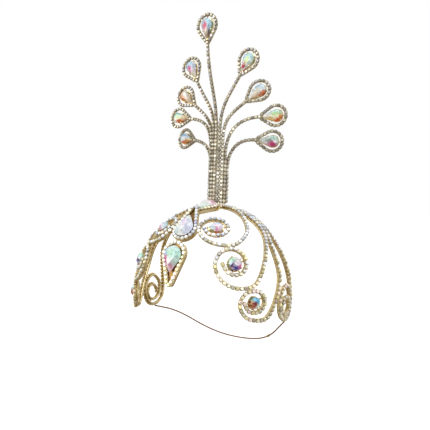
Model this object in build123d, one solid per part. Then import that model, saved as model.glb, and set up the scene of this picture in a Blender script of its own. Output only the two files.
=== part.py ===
"""Rhinestone headpiece: a cage of gold wire scrolls with cup chain, and a plume of nine stone drops.

Millimetres. +Z up, the wearer faces -Y, the wearer's left is +X. The origin is the seat on top of the
head, under the crown plate.
"""

import os
from math import asin, copysign, cos, floor, hypot, radians, sin, tan

from build123d import *

os.makedirs("parts", exist_ok=True)

# Cage that the scroll wires follow, through the middle of the wires: a dome a little fuller than an ellipsoid
cage_half_width = 88.5
cage_half_depth = 93.0
cage_height = 98.0
cage_fullness = 2.12

# Wires, chains and clearances
frame_wire = 2.4
stem_wire = 2.0
frame_chain = 4.0
stem_chain = 4.1
chaton_pitch = 4.7
chaton_height = 2.8
chaton_table = 0.62
chaton_base = 0.85
seat_gap = 0.25
run_length = 8.0
bend_share = 0.45

# Crown plate
plate_half_width = 11.0
plate_front = -4.0
plate_rear = 23.5
plate_thickness = 2.4
strand_pitch = 4.7
strand_gap = 0.6

# Trunk of the plume: nine columns round the front of a leaning axis
trunk_y = 12.0
trunk_lean = 0.085
trunk_chain_radius = 13.2
column_step = 19.2
trunk_chain_foot = 7.2

# Rings of the plume, measured along the middle of the wire
ring_length = 32.0
ring_width = 24.0
ring_tip_radius = 2.0
plume_stone_length = 24.0
plume_stone_width = 14.0
plume_stone_standoff = 3.4
plume_stone_depth = 2.0
plume_stone_inset = 4.3
stem_curve_tension = 0.45

# Centre pieces, measured along the middle of the band
band_width = 2.4
band_height = 3.6
band_tip_radius = 2.5
centre_stone_length = 29.0
centre_stone_width = 21.0
centre_stone_depth = 3.25
stone_tip_radius = 1.2

# Stones and their settings
stone_depth = 2.6
stone_girdle = 0.6
stone_crown = 3.0
centre_stone_crown = 4.6
stone_sides = 16
setting_thickness = 1.4
setting_margin = 0.8
claw_diameter = 1.1
claw_overlap = 0.6
claw_count = 5
lug_diameter = 1.6

# Elastic cord and its crimp
cord_diameter = 1.8
crimp_length = 5.0
crimp_wall = 0.6
crimp_gap = 0.1

# Scrolls of the wearer's left side. The arm leaves the crown at its slot, counted from the front, passes its
# way points (azimuth from the front, drop from the crown, degrees) and winds round the eye, whose place is
# counted from the last way point: radii at each quarter turn, from the wearer's left of the eye, down and round.
scrolls = {
    "a": dict(
        slot=0,
        arm=[(82, 17), (76.5, 25), (69.6, 34.4)],
        eye_from_arm=(-38.3, 7.2),
        radii=[35.0, 20.8, 17.8, 14.5, 13.3, 10.3, 12.0],
        stone=(16.0, 12.5),
    ),
    "b": dict(
        slot=1,
        arm=[(93, 19), (86, 32), (84.8, 41), (82.5, 47.5), (78.3, 53.8), (73.5, 60)],
        eye_from_arm=(-29.8, 7.3),
        radii=[36.0, 24.3, 20.4, 16.0, 12.6, 11.2, 12.5],
        stone=(14.0, 14.0),
    ),
    "c": dict(
        slot=2,
        arm=[(101, 20), (92.5, 33), (91, 41), (88.5, 48), (84.3, 55), (82.5, 62), (82.5, 70), (81.5, 78)],
        eye_from_arm=(-25.7, 11.5),
        radii=[32.0, 17.4, 16.8, 11.6, 13.8, 9.8, 11.5],
        stone=(12.0, 12.0),
    ),
    "d": dict(
        slot=3,
        arm=[(112, 20), (102, 33), (97.5, 45), (96.8, 55), (98, 65), (100.5, 75), (102.3, 84)],
        eye_from_arm=(-12.3, 11.2),
        radii=[20.8, 15.2, 17.2, 23.0, 14.0, 8.8, 12.3, 10.5, 9.0],
        stone=None,
    ),
}

# Stems of the plume: column in the trunk, height where it leaves, neck and tip of its ring
stems = {
    "centre": dict(column=0, leave=88, neck=(0, -12.5, 194.0), tip=(0, -14.5, 229.5)),
    "left_1": dict(column=1, leave=92, neck=(29.6, 13.7, 159.0), tip=(49.1, 14.7, 189.5)),
    "left_2": dict(column=2, leave=84, neck=(35.4, 17.6, 127.8), tip=(62.3, 24.9, 148.3)),
    "left_3": dict(column=3, leave=66, neck=(48.0, 29.1, 110.4), tip=(83.4, 33.8, 110.5)),
    "left_4": dict(column=4, leave=50, neck=(42.0, 30.1, 83.3), tip=(76.0, 42.5, 79.7)),
    "right_1": dict(column=-1, leave=92, neck=(-29.6, 13.7, 160.7), tip=(-45.6, 15.5, 195.3)),
    "right_2": dict(column=-2, leave=84, neck=(-35.4, 17.6, 132.2), tip=(-67.4, 24.1, 160.2)),
    "right_3": dict(column=-3, leave=70, neck=(-48.0, 29.1, 118.0), tip=(-83.4, 33.8, 124.4)),
    "right_4": dict(column=-4, leave=54, neck=(-42.0, 30.1, 89.5), tip=(-76.0, 42.5, 97.8)),
}

# Centre pieces: width, the drop angle and lift from the cage of the outline's tip and of its round end, and the
# stone's share of the full size and its shift towards the tip. The middle piece rises over the tip of the top one.
centre_pieces = {
    "top": dict(width=23.0, tip=(21.3, 0.0), round_end=(1.3, 0.0), stone=(1.0, 0.0)),
    "middle": dict(width=25.0, tip=(22.0, 6.3), round_end=(50.2, -2.5), stone=(1.0, 0.0)),
    "drop": dict(width=24.0, tip=(80.2, 0.5), round_end=(54.2, 3.0), stone=(0.96, 2.3)),
}

# Elastic cord, wearer's left to right, from one outer loop to the other behind the nape
cord_route = [
    (86.5, 1.5, -124.6),
    (84.0, 12.0, -128.0),
    (78.0, 27.0, -133.0),
    (67.0, 44.0, -143.0),
    (53.0, 60.0, -157.0),
    (35.0, 74.0, -169.0),
    (13.0, 82.0, -175.0),
    (-13.0, 82.0, -175.0),
    (-35.0, 74.0, -169.0),
    (-53.0, 60.0, -157.0),
    (-67.0, 44.0, -143.0),
    (-78.0, 27.0, -133.0),
    (-84.0, 12.0, -128.0),
    (-86.5, 1.5, -124.6),
]
crimp_run = 4

wire_radius = frame_wire / 2
cage_centre = Vector(0, 0, wire_radius - cage_height)
chain_lift = wire_radius + seat_gap + frame_chain / 2
stem_chain_lift = stem_wire / 2 + seat_gap + stem_chain / 2


def fuller(share):
    """A sine or cosine drawn out to the dome's fullness."""
    return copysign(abs(share) ** (2 / cage_fullness), share)


def cage_point(azimuth, drop, lift=0.0):
    """Point of the cage at an azimuth from the front and a drop angle from the crown."""
    turn, out, down = radians(azimuth), fuller(sin(radians(drop))), fuller(cos(radians(drop)))
    return cage_centre + Vector(
        (cage_half_width + lift) * out * sin(turn),
        -(cage_half_depth + lift) * out * cos(turn),
        (cage_height + lift) * down,
    )


def onto_cage(point, lift=0.0):
    """The point moved along its line from the cage's centre onto the cage."""
    ray = point - cage_centre
    out = hypot(ray.X / (cage_half_width + lift), ray.Y / (cage_half_depth + lift))
    down = abs(ray.Z / (cage_height + lift))
    return cage_centre + ray / (out**cage_fullness + down**cage_fullness) ** (1 / cage_fullness)


def cage_normal(point):
    """Outward direction of the dome at a point near it."""
    ray = point - cage_centre
    out = hypot(ray.X / cage_half_width, ray.Y / cage_half_depth)
    down = ray.Z / cage_height
    level = out ** (cage_fullness - 2)
    slope = copysign(abs(down) ** (cage_fullness - 1), down) / cage_height
    return Vector(
        level * ray.X / cage_half_width**2, level * ray.Y / cage_half_depth**2, slope
    ).normalized()


def between(values, place):
    """Smooth value at a fractional place in a list of numbers or vectors."""
    last = len(values) - 1
    index = min(floor(place), last - 1)
    share = place - index
    before = values[max(index - 1, 0)]
    start, end = values[index], values[index + 1]
    after = values[min(index + 2, last)]
    slope_start, slope_end = (end - before) * 0.5, (after - start) * 0.5
    return (
        start * (1 - 3 * share**2 + 2 * share**3)
        + slope_start * (share - 2 * share**2 + share**3)
        + end * (3 * share**2 - 2 * share**3)
        + slope_end * (share**3 - share**2)
    )


def evenly(points, step):
    """Points at even distances along a finely divided route, both ends kept."""
    lengths = [0.0]
    for one, other in zip(points, points[1:]):
        lengths.append(lengths[-1] + (other - one).length)
    count = max(round(lengths[-1] / step), 2)
    spread, index = [points[0]], 0
    for number in range(1, count):
        target = lengths[-1] * number / count
        while lengths[index + 1] < target:
            index += 1
        share = (target - lengths[index]) / (lengths[index + 1] - lengths[index])
        spread.append(points[index] + (points[index + 1] - points[index]) * share)
    return spread + [points[-1]]


def bend_radii(points):
    """Largest radius that each corner's two runs allow."""
    radii = []
    for before, corner, after in zip(points, points[1:], points[2:]):
        turn = (corner - before).get_angle(after - corner)
        shorter = min((corner - before).length, (after - corner).length)
        radii.append(bend_share * shorter / tan(radians(turn / 2)))
    return radii


def rod(points, diameter):
    """A round bar bent along its corner points, with an arc at each corner."""
    path = FilletPolyline(*points, radius=bend_radii(points))
    return sweep(Plane(origin=path @ 0, z_dir=path % 0) * Circle(diameter / 2), path=path)


def scroll_eye(scroll):
    """Middle of a scroll's eye, on the cage."""
    azimuth, drop = scroll["arm"][-1]
    turn_to_eye, drop_to_eye = scroll["eye_from_arm"]
    return cage_point(azimuth + turn_to_eye, drop + drop_to_eye)


def scroll_corners(scroll):
    """Corner points of one scroll on the cage, from the crown to the inner end."""
    start_y = trunk_y + (scroll["slot"] - 1.5) * strand_pitch
    start = onto_cage(Vector(plate_half_width + strand_gap, start_y, 0))
    eye = scroll_eye(scroll)
    out = cage_normal(eye)
    across = Vector(0, 0, 1).cross(out).normalized()
    up = out.cross(across)
    keys = [start] + [cage_point(*way) for way in scroll["arm"]]
    steps = 2 * (len(scroll["radii"]) - 1)
    for step in range(steps + 1):
        radius = between(scroll["radii"], step / 2)
        angle = radians(-45.0 * step)
        keys.append(eye + across * (radius * cos(angle)) + up * (radius * sin(angle)))
    fine = [onto_cage(between(keys, place / 8)) for place in range(8 * (len(keys) - 1) + 1)]
    return evenly(fine, run_length)


def pear_edges(length, width, tip_radius, grow=0.0):
    """Outline with its tip at the start and its round end along +Y: two arcs and their tangents."""
    big, small = width / 2 + grow, tip_radius + grow
    far, near = length - width / 2, tip_radius
    lean = asin((big - small) / (far - near))
    right_far = (big * cos(lean), far - big * sin(lean))
    right_near = (small * cos(lean), near - small * sin(lean))
    left_far, left_near = (-right_far[0], right_far[1]), (-right_near[0], right_near[1])
    return [
        ThreePointArc(right_near, (0, near - small), left_near),
        Line(left_near, left_far),
        ThreePointArc(left_far, (0, far + big), right_far),
        Line(right_far, right_near),
    ]


def pear_wire(length, width, tip_radius, grow=0.0):
    return Wire(pear_edges(length, width, tip_radius, grow))


def pear_slab(length, width, tip_radius, grow, bottom, top):
    face = make_face(pear_edges(length, width, tip_radius, grow))
    return extrude(Pos(0, 0, bottom) * face, top - bottom)


def around(wire, count):
    """Even places on a closed outline, from its tip, with the direction along it."""
    start = 0.5 * wire.edges()[0].length / wire.length
    places = [(start + number / count) % 1.0 for number in range(count)]
    return [(wire @ place, wire % place) for place in places]


def facet_solid(outline, middle, levels):
    """Solid with flat facets between scaled copies of an outline, given as (scale, height) levels."""
    rings = [
        [middle + (point - middle) * scale + Vector(0, 0, height) for point in outline]
        for scale, height in levels
    ]
    faces = [Face(Wire.make_polygon(rings[0])), Face(Wire.make_polygon(rings[-1]))]
    for lower, upper in zip(rings, rings[1:]):
        for index in range(len(outline)):
            after = (index + 1) % len(outline)
            corners = [lower[index], lower[after], upper[after], upper[index]]
            faces.append(Face(Wire.make_polygon(corners)))
    return Solid(Shell(faces))


def pear_stone(length, width, crown=stone_crown, depth=stone_depth):
    """Pear cut with its girdle at height 0: a table, two rows of crown facets and a pavilion."""
    wire = pear_wire(length, width, stone_tip_radius)
    outline = [place for place, _ in around(wire, stone_sides)]
    middle = Vector(0, length - width / 2, 0)
    return facet_solid(outline, middle, stone_levels(crown, depth))


def round_stone(diameter):
    outline = [
        Vector(diameter / 2, 0, 0).rotate(Axis.Z, 360 * number / stone_sides)
        for number in range(stone_sides)
    ]
    return facet_solid(outline, Vector(0, 0, 0), stone_levels(stone_crown, stone_depth))


def stone_levels(crown, depth):
    return [
        (0.45, -depth),
        (1.0, 0.0),
        (1.0, stone_girdle),
        (0.84, stone_girdle + 0.45 * crown),
        (0.56, stone_girdle + crown),
    ]


def chaton(diameter):
    """One cup with its stone, standing on height 0."""
    outline = [Vector(diameter / 2, 0, 0).rotate(Axis.Z, 45 * side + 22.5) for side in range(8)]
    levels = [(chaton_base, 0.0), (1.0, 0.55 * chaton_height), (chaton_table, chaton_height)]
    return facet_solid(outline, Vector(0, 0, 0), levels)


def chatons_around(wire, diameter, bottom):
    """Loose chatons standing on a closed flat outline."""
    pattern = chaton(diameter)
    count = round(wire.length / chaton_pitch)
    placed = []
    for place, along in around(wire, count):
        spot = Plane(origin=place + Vector(0, 0, bottom), x_dir=along, z_dir=(0, 0, 1))
        placed.append(pattern.moved(spot.location))
    return placed


def claws_around(wire, count, bottom, top):
    claws = []
    for place, _ in around(wire, count):
        claw = Cylinder(claw_diameter / 2, top - bottom, align=(Align.CENTER, Align.CENTER, Align.MIN))
        claws.append(Pos(place.X, place.Y, bottom) * claw)
    return claws


def lug(start, end):
    """Short straight bar between two points."""
    bar = Cylinder(lug_diameter / 2, (end - start).length, align=(Align.CENTER, Align.CENTER, Align.MIN))
    return Plane(origin=start, z_dir=end - start) * bar


def pear_plate(length, width, bottom):
    """Flat plate under a pear stone whose tip is at the local origin."""
    return pear_slab(length, width, stone_tip_radius, setting_margin, bottom, bottom + setting_thickness)


def pear_setting(length, width, bottom, girdle):
    """Plate with claws that reach over the girdle."""
    claw_wire = pear_wire(length, width, stone_tip_radius, claw_diameter / 2 + seat_gap)
    claw_top = girdle + stone_girdle + claw_overlap
    return [pear_plate(length, width, bottom)] + claws_around(claw_wire, claw_count, bottom, claw_top)


def save(shape, name):
    shape.label = name
    export_step(shape, f"parts/{name}.step")


def one_solid(pieces):
    """The pieces soldered together."""
    whole = pieces[0]
    for piece in pieces[1:]:
        whole = whole + piece
    return whole.solid()


def save_pair(shape, name):
    """The wearer's left piece and its mirrored twin."""
    save(shape, f"{name}_left")
    save(shape.mirror(Plane.YZ), f"{name}_right")


# Scroll wires with their settings, chains and stones
setting_bottom = -setting_thickness / 2
stone_seat = setting_thickness / 2 + seat_gap
girdle_height = stone_seat + stone_depth

for name, scroll in scrolls.items():
    corners = scroll_corners(scroll)
    wire = rod(corners, frame_wire)
    chain = rod([onto_cage(corner, chain_lift) for corner in corners], frame_chain)
    save_pair(chain, f"scroll_chain_{name}")
    if scroll["stone"]:
        length, width = scroll["stone"]
        eye = scroll_eye(scroll)
        out = cage_normal(eye)
        across = Vector(0, 0, 1).cross(out)
        spot = Plane(origin=eye, x_dir=across, z_dir=out)
        if length > width:
            tip = eye - across.normalized() * (length / 2)
            spot = Plane(origin=tip, x_dir=across.cross(out), z_dir=out)
            setting = pear_setting(length, width, setting_bottom, girdle_height)
            stone = pear_stone(length, width)
        else:
            disc = Cylinder(width / 2 + setting_margin, setting_thickness)
            claw_circle = Wire.make_circle(width / 2 + claw_diameter / 2 + seat_gap)
            claw_top = girdle_height + stone_girdle + claw_overlap
            setting = [disc] + claws_around(claw_circle, claw_count, setting_bottom, claw_top)
            stone = round_stone(width)
        pieces = [wire] + [spot.location * piece for piece in setting]
        for corner in corners[-2], corners[-4], corners[-6]:
            pieces.append(lug(eye + (corner - eye) * 0.5, corner))
        wire = one_solid(pieces)
        save_pair(stone.moved(spot.location * Pos(0, 0, girdle_height)), f"scroll_stone_{name}")
    save_pair(wire, f"scroll_wire_{name}")
    print("scroll", name, "corners", len(corners), "wire volume", round(wire.volume))

# Centre pieces
plate_depth = plate_rear - plate_front
plate = Pos(0, (plate_front + plate_rear) / 2, plate_thickness / 2) * Box(
    2 * plate_half_width, plate_depth, plate_thickness
)
frame_pieces = [plate]
for name, piece in centre_pieces.items():
    tip, round_end = cage_point(0, *piece["tip"]), cage_point(0, *piece["round_end"])
    along = round_end - tip
    out = cage_normal((tip + round_end) / 2)
    spot = Plane(origin=tip, x_dir=along.cross(out), z_dir=out - along * (out.dot(along) / along.dot(along)))
    length, width = along.length, piece["width"]
    bottom, top = -wire_radius, band_height - wire_radius
    outer = pear_slab(length, width, band_tip_radius, band_width / 2, bottom, top)
    inner = pear_slab(length, width, band_tip_radius, -band_width / 2, bottom, top)
    share, shift = piece["stone"]
    stone_length, stone_width = centre_stone_length * share, centre_stone_width * share
    stone_start = length - width / 2 - (stone_length - stone_width / 2) - shift
    to_stone = Pos(0, stone_start, 0)
    back = pear_slab(length, width, band_tip_radius, 0, top - setting_thickness, top)
    frame_pieces += [spot.location * (outer - inner), spot.location * back]
    border = pear_wire(length, width, band_tip_radius)
    placed = chatons_around(border, frame_chain, top + seat_gap)
    save(Compound([one.moved(spot.location) for one in placed]), f"{name}_border")
    stone = pear_stone(stone_length, stone_width, centre_stone_crown, centre_stone_depth)
    height = top + seat_gap + centre_stone_depth
    save(stone.moved(spot.location * to_stone * Pos(0, 0, height)), f"{name}_stone")
    print(name, "length", round(length, 1), "chatons", len(placed))
top_tip, middle_tip = (cage_point(0, *centre_pieces[name]["tip"]) for name in ("top", "middle"))
middle_end, drop_end = (cage_point(0, *centre_pieces[name]["round_end"]) for name in ("middle", "drop"))
post_foot = Vector(0, middle_tip.Y, top_tip.Z)
frame_pieces += [lug(top_tip, post_foot), lug(post_foot, middle_tip), lug(middle_end, drop_end)]
save(one_solid(frame_pieces), "centre_frame")


def trunk_point(column, height, radius):
    angle = radians(column * column_step)
    return Vector(radius * sin(angle), trunk_y + trunk_lean * height - radius * cos(angle), height)


# Plume
ring_wire = pear_wire(ring_length, ring_width, ring_tip_radius)
ring_chatons = []
for name, stem in stems.items():
    column = stem["column"]
    neck, tip = Vector(*stem["neck"]), Vector(*stem["tip"])
    along = (tip - neck).normalized()
    front = Vector(0, -1, 0)
    face = (front - along * front.dot(along)).normalized()
    radial = Vector(sin(radians(column * column_step)), -cos(radians(column * column_step)), 0)
    wire_radius_in_trunk = trunk_chain_radius - stem_chain_lift
    foot = trunk_point(column, plate_thickness + seat_gap, wire_radius_in_trunk)
    leave = trunk_point(column, stem["leave"], wire_radius_in_trunk)
    rise = (leave - foot).normalized()
    pull = (neck - leave).length * stem_curve_tension
    handles = [leave, leave + rise * pull, neck - along * pull, neck]
    runs = max(round((neck - leave).length / run_length), 4)
    points, chain_points = [foot], [trunk_point(column, trunk_chain_foot, trunk_chain_radius)]
    for number in range(runs + 1):
        share = number / runs
        rest = 1 - share
        point = (
            handles[0] * rest**3
            + handles[1] * (3 * rest**2 * share)
            + handles[2] * (3 * rest * share**2)
            + handles[3] * share**3
        )
        course = (
            (handles[1] - handles[0]) * rest**2
            + (handles[2] - handles[1]) * (2 * rest * share)
            + (handles[3] - handles[2]) * share**2
        ).normalized()
        mix = share**2 * (3 - 2 * share)
        outward = radial * (1 - mix) + face * mix
        outward = (outward - course * outward.dot(course)).normalized()
        points.append(point)
        chain_points.append(point + outward * stem_chain_lift)
    ring_spot = Plane(origin=neck, x_dir=along.cross(face), z_dir=face)
    stem_rod = rod(points, stem_wire)
    ring_section = Plane(origin=ring_wire @ 0, z_dir=ring_wire % 0) * Circle(stem_wire / 2)
    ring = sweep(ring_section, path=ring_wire)
    stone_start = ring_length - plume_stone_inset - plume_stone_length
    setting_base = plume_stone_standoff - plume_stone_depth - seat_gap - setting_thickness
    setting = pear_setting(plume_stone_length, plume_stone_width, setting_base, plume_stone_standoff)
    setting = [Pos(0, stone_start, 0) * part for part in setting]
    back_bar = lug(Vector(0, 0, 0), Vector(0, ring_length, 0))
    metal = [ring_spot.location * part for part in [ring, back_bar] + setting]
    save(one_solid([stem_rod] + metal), f"plume_stem_{name}")
    stone = pear_stone(plume_stone_length, plume_stone_width, stone_crown, plume_stone_depth)
    stone_spot = ring_spot.location * Pos(0, stone_start, plume_stone_standoff)
    save(stone.moved(stone_spot), f"plume_stone_{name}")
    placed = chatons_around(ring_wire, stem_chain, stem_wire / 2 + seat_gap)
    ring_chatons += [one.moved(ring_spot.location) for one in placed]
    chain_end = neck - along * (stem_chain / 2 + seat_gap) + face * stem_chain_lift
    chain_points[-1] = chain_end
    save(rod(chain_points, stem_chain), f"plume_chain_{name}")
    print("stem", name, "points", len(points))
save(Compound(ring_chatons), "plume_ring_chain")

# Elastic cord and crimp
route = [Vector(*point) for point in cord_route]
cord = rod(route, cord_diameter)
print("cord radii", [round(radius) for radius in bend_radii(route)], "volume", round(cord.volume))
save(cord, "elastic_cord")
run_start, run_end = route[crimp_run], route[crimp_run + 1]
crimp_middle = (run_start + run_end) / 2
crimp_hole = cord_diameter / 2 + crimp_gap
sleeve = Cylinder(crimp_hole + crimp_wall, crimp_length) - Cylinder(crimp_hole, crimp_length)
save((Plane(origin=crimp_middle, z_dir=run_end - run_start) * sleeve).solid(), "cord_crimp")
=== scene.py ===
"""Looks of the rhinestone headpiece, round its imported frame, in the order in which it is put together."""

from math import asin, copysign, cos, floor, hypot, pi, radians, sin
from random import Random

import bpy
from mathutils import Matrix, Vector


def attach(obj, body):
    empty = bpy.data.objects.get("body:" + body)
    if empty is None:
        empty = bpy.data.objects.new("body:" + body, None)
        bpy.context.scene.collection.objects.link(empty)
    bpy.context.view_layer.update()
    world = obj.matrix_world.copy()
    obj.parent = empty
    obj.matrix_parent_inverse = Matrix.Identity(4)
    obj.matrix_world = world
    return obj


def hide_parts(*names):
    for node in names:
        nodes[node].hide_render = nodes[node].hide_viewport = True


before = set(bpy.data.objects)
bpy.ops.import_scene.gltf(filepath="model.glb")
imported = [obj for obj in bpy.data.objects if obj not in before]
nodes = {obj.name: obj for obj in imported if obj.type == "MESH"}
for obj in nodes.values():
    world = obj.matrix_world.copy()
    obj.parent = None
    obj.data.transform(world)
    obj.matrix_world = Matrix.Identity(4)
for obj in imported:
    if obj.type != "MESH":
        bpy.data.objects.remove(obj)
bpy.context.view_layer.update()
scene = bpy.context.scene

# Studio set: white paper all round, daylight from a big window in front on the wearer's right, and a level
# camera a step to the wearer's left.
CAMERA_TURN = radians(28.0)
CAMERA_DISTANCE = 0.515
CAMERA_HEIGHT = -0.005
FILM_WIDTH = 36.0  # and the lens's length
PICTURE = 430.0  # pixels across and down
AXIS_COLUMN = 213.5  # of the crown's upright axis
HORIZON_ROW = 213.0
GROUND_HEIGHT = -340.0
GROUND_REACH = 30000.0


def add_node(tree, kind, inputs=None, **settings):
    """Adds a node, with its settings, and its inputs as values or as the sockets that feed them."""
    made = tree.nodes.new(kind)
    for name, value in settings.items():
        setattr(made, name, value)
    for name, value in (inputs or {}).items():
        if isinstance(value, bpy.types.NodeSocket):
            tree.links.new(value, made.inputs[name])
        else:
            made.inputs[name].default_value = value
    return made


def linear(code):
    """Linear colour of an sRGB hex value."""
    shares = [int(code[place : place + 2], 16) / 255 for place in (1, 3, 5)]
    bent = [share / 12.92 if share <= 0.04045 else ((share + 0.055) / 1.055) ** 2.4 for share in shares]
    return (*bent, 1.0)


def set_ramp(ramp, stops):
    """Gives a colour ramp its stops, as (place, hex value)."""
    while len(ramp.elements) < len(stops):
        ramp.elements.new(0.5)
    for element, (place, code) in zip(ramp.elements, stops):
        element.position = place
        element.color = linear(code)


def new_material(name):
    """Material with an empty tree, and its surface socket."""
    material = bpy.data.materials.new(name)
    material.use_nodes = True
    material.node_tree.nodes.clear()
    output = material.node_tree.nodes.new("ShaderNodeOutputMaterial")
    return material, material.node_tree, output.inputs["Surface"]


def new_piece(name, points, faces, *materials):
    """Mesh piece from points in millimetres, with its object at the origin."""
    mesh = bpy.data.meshes.new(name)
    mesh.from_pydata([Vector(point) * 0.001 for point in points], [], faces)
    for material in materials:
        mesh.materials.append(material)
    piece = bpy.data.objects.new(name, mesh)
    scene.collection.objects.link(piece)
    return piece


camera_data = bpy.data.cameras.new("camera")
camera_data.lens = FILM_WIDTH
camera_data.sensor_width = FILM_WIDTH
camera_data.shift_x = (PICTURE / 2 - AXIS_COLUMN) / PICTURE
camera_data.shift_y = (HORIZON_ROW - PICTURE / 2) / PICTURE
camera_data.clip_start = 0.01
camera = bpy.data.objects.new("camera", camera_data)
camera_across, camera_forward = CAMERA_DISTANCE * sin(CAMERA_TURN), CAMERA_DISTANCE * cos(CAMERA_TURN)
camera.location = (camera_across, -camera_forward, CAMERA_HEIGHT)
camera.rotation_euler = (radians(90), 0, CAMERA_TURN)
scene.collection.objects.link(camera)
scene.camera = camera
scene.view_settings.view_transform = "Standard"

world = bpy.data.worlds.new("white room")
world.use_nodes = True
scene.world = world
room_tree = world.node_tree
room_tree.nodes.clear()
direction = add_node(room_tree, "ShaderNodeTexCoord").outputs["Generated"]
height = add_node(room_tree, "ShaderNodeSeparateXYZ", {0: direction}).outputs["Z"]
level = add_node(room_tree, "ShaderNodeMapRange", {"Value": height, "From Min": -0.6, "From Max": 0.5})
room = add_node(room_tree, "ShaderNodeValToRGB", {"Fac": level.outputs["Result"]})
set_ramp(room.color_ramp, [(0.0, "#b3a796"), (0.42, "#ddd8d0"), (0.6, "#ffffff")])
lit_room = add_node(room_tree, "ShaderNodeBackground", {"Color": room.outputs["Color"], "Strength": 0.75})
backdrop = add_node(room_tree, "ShaderNodeBackground", {"Color": linear("#ffffff"), "Strength": 1.0})
seen = add_node(room_tree, "ShaderNodeLightPath").outputs["Is Camera Ray"]
both = {0: seen, 1: lit_room.outputs["Background"], 2: backdrop.outputs["Background"]}
set_of_paper = add_node(room_tree, "ShaderNodeMixShader", both)
add_node(room_tree, "ShaderNodeOutputWorld", {"Surface": set_of_paper.outputs["Shader"]})

# Name, place and size in metres, and power in watts
LIGHTS = (
    ("window", (-0.7, -1.0, 0.7), 1.2, 7.5),
    ("ceiling", (0.3, 0.1, 1.3), 0.9, 3.0),
    ("lamp", (0.9, -0.8, 0.25), 0.4, 0.8),
)
for name, place, size, power in LIGHTS:
    light_data = bpy.data.lights.new(name, "AREA")
    light_data.size = size
    light_data.energy = power
    light = bpy.data.objects.new(name, light_data)
    light.location = place
    light.rotation_euler = (-Vector(place)).to_track_quat("-Z", "Y").to_euler()
    scene.collection.objects.link(light)

# Uncoated white paper, matt, and lit so that it burns out to white
white_paper, tree, surface = new_material("white paper")
paper_surface = add_node(
    tree,
    "ShaderNodeBsdfPrincipled",
    {
        "Base Color": linear("#f6f5f3"),
        "Roughness": 0.9,
        "Emission Color": linear("#ffffff"),
        "Emission Strength": 0.5,
    },
)
tree.links.new(paper_surface.outputs["BSDF"], surface)
ground_corners = [
    (x * GROUND_REACH, y * GROUND_REACH, GROUND_HEIGHT) for x, y in ((-1, -1), (1, -1), (1, 1), (-1, 1))
]
ground = new_piece("ground", ground_corners, [(0, 1, 2, 3)], white_paper)
ground.visible_glossy = False
ground.visible_diffuse = False

# Centre frame: the crown plate and three pear-shaped bands bent from brass strip, with a plate under each
# stone, soldered together and gold plated. Plating on hand-filed brass is bright but never quite even. The
# plates under the stones are painted brown, a painted shade where the stones shadow them.
WEAR_SCALE = 140.0  # patches about 7 mm across
FILING_SCALE = 900.0  # file marks about 1 mm apart, coarser than the real ones so that they show
FILING_DEPTH = 0.0002
CAGE_MIDDLE = (0.0, 0.0, -0.097)
# Painted shade on the plates under the stones: these cosines pick the faces that get it.
SEAT_SHADE_FACING = (0.75, 0.88)  # cosine to straight outwards at which the seat colour starts, and is full
GOLD_TONES = [(0.30, "#d9bf88"), (0.50, "#ead7a4"), (0.72, "#f6ebc8")]


def plated_metal(name, tones, dullest, brightest, seat=None):
    """Plating whose tone and polish drift from place to place, between two roughnesses, over a filed surface.

    A seat colour is painted shade: the faces turned straight out from the middle of the cage, the plates under
    the stones, take it.
    """
    material, tree, surface = new_material(name)
    place = add_node(tree, "ShaderNodeTexCoord").outputs["Object"]
    patches = {"Vector": place, "Scale": WEAR_SCALE, "Detail": 3.0}
    wear = add_node(tree, "ShaderNodeTexNoise", patches).outputs["Fac"]
    plating = add_node(tree, "ShaderNodeValToRGB", {"Fac": wear})
    set_ramp(plating.color_ramp, tones)
    colour = plating.outputs["Color"]
    # Painted shade: the faces turned straight out, the plates under the stones, take the darker seat colour.
    if seat:
        ray = add_node(tree, "ShaderNodeVectorMath", {0: place, 1: CAGE_MIDDLE}, operation="SUBTRACT")
        out = add_node(tree, "ShaderNodeVectorMath", {0: ray.outputs["Vector"]}, operation="NORMALIZE")
        normal = add_node(tree, "ShaderNodeNewGeometry").outputs["Normal"]
        pair = {0: normal, 1: out.outputs["Vector"]}
        facing = add_node(tree, "ShaderNodeVectorMath", pair, operation="DOT_PRODUCT").outputs["Value"]
        limits = {"Value": facing, "From Min": SEAT_SHADE_FACING[0], "From Max": SEAT_SHADE_FACING[1]}
        share = add_node(tree, "ShaderNodeMapRange", limits).outputs["Result"]
        tints = {0: share, 6: colour, 7: linear(seat)}
        colour = add_node(tree, "ShaderNodeMix", tints, data_type="RGBA").outputs[2]
    span = {"Value": wear, "From Min": 0.3, "From Max": 0.7, "To Min": dullest, "To Max": brightest}
    polish = add_node(tree, "ShaderNodeMapRange", span)
    filing = add_node(tree, "ShaderNodeTexNoise", {"Vector": place, "Scale": FILING_SCALE, "Detail": 1.0})
    marks = {"Height": filing.outputs["Fac"], "Strength": 0.05, "Distance": FILING_DEPTH}
    dents = add_node(tree, "ShaderNodeBump", marks)
    metal = add_node(
        tree,
        "ShaderNodeBsdfPrincipled",
        {
            "Base Color": colour,
            "Metallic": 1.0,
            "Roughness": polish.outputs["Result"],
            "Normal": dents.outputs["Normal"],
        },
    )
    tree.links.new(metal.outputs["BSDF"], surface)
    return material


gold_plate = plated_metal("gold-plated brass, polished by hand", GOLD_TONES, 0.30, 0.16)
# The brown seat colour is painted shade on the plates under the stones.
seat_shaded_plate = plated_metal("gold-plated brass, painted shade under the stones", GOLD_TONES, 0.30, 0.16, "#8f6f42")


def finish_node(name, material):
    """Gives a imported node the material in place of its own."""
    nodes[name].data.materials.clear()
    nodes[name].data.materials.append(material)


finish_node("centre_frame", seat_shaded_plate)

# Scroll wires: soft brass wire bent cold round a former, four for each side, soldered to the crown plate side
# by side and gold plated with it. Three of the four end in a claw setting at the eye of the scroll.
SIDES = (("left", 1), ("right", -1))
for letter in "abcd":
    for side, _ in SIDES:
        finish_node(f"scroll_wire_{letter}_{side}", gold_plate)

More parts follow.
